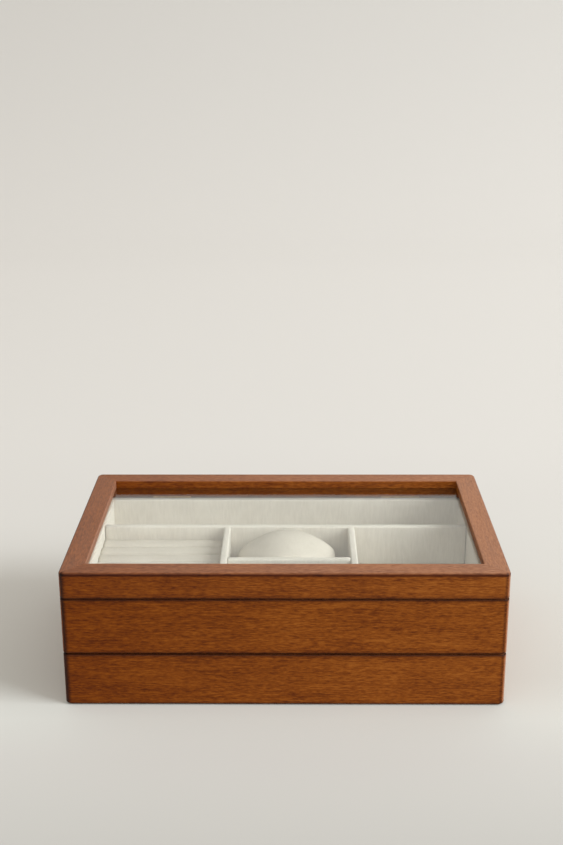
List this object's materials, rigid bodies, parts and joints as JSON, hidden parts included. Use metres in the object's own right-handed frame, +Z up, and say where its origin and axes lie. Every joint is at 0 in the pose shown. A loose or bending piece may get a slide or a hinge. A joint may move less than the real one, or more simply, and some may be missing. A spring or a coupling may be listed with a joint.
{
  "type": "jewellery box",
  "caption": "Brown wooden jewellery box with a hinged glazed lid over a fabric-lined tray with ring rolls and a watch pillow, and a full-width drawer below.",
  "frame": {"origin": "middle of the underside, on the surface that the box stands on", "axes": "+X to the right along the front, +Y from the front to the back, +Z up"},
  "size_m": [0.28, 0.175, 0.092],
  "materials": {
    "stained_wood": "satin varnish",
    "inner_wood": "sanded",
    "fabric": "soft matte",
    "glass": "clear",
    "brass": "satin"
  },
  "bodies": {
    "case": {"front_panel": "stained_wood", "back_board": "stained_wood", "left_side": "stained_wood", "right_side": "stained_wood", "tray_floor": "inner_wood", "base_panel": "inner_wood", "drawer_stops": "inner_wood", "tray_liner_front": "fabric", "tray_liner_back": "fabric", "tray_liner_left": "fabric", "tray_liner_right": "fabric", "tray_floor_pad": "fabric", "long_divider": "fabric", "left_cross_divider": "fabric", "right_cross_divider": "fabric", "pillow_divider": "fabric", "ring_cushion": "fabric", "watch_pillow": "fabric", "left_hinge_case_leaf": "brass", "right_hinge_case_leaf": "brass", "left_hinge_pin": "brass", "right_hinge_pin": "brass", "case_hinge_screws": "brass"},
    "lid": {"lid_front_rail": "stained_wood", "lid_back_rail": "stained_wood", "lid_left_rail": "stained_wood", "lid_right_rail": "stained_wood", "lid_glass": "glass", "lid_front_bead": "stained_wood", "lid_back_bead": "stained_wood", "lid_left_bead": "stained_wood", "lid_right_bead": "stained_wood", "left_hinge_lid_leaf": "brass", "right_hinge_lid_leaf": "brass", "lid_hinge_screws": "brass"},
    "drawer": {"drawer_front": "stained_wood", "drawer_left_side": "inner_wood", "drawer_right_side": "inner_wood", "drawer_back": "inner_wood", "drawer_bottom": "inner_wood", "drawer_floor_pad": "fabric", "drawer_lining_front": "fabric", "drawer_lining_back": "fabric", "drawer_lining_left": "fabric", "drawer_lining_right": "fabric", "drawer_left_divider": "fabric", "drawer_right_divider": "fabric"}
  },
  "joints": [
    {"name": "lid_hinge", "type": "hinge", "parent": "case", "child": "lid", "pos_m": [0, 0.0855, 0.0742], "axis": [-1, 0, 0], "range_deg": [0, 95]},
    {"name": "drawer_slide", "type": "slide", "parent": "case", "child": "drawer", "axis": [0, -1, 0], "range_m": [0, 0.115]}
  ]
}
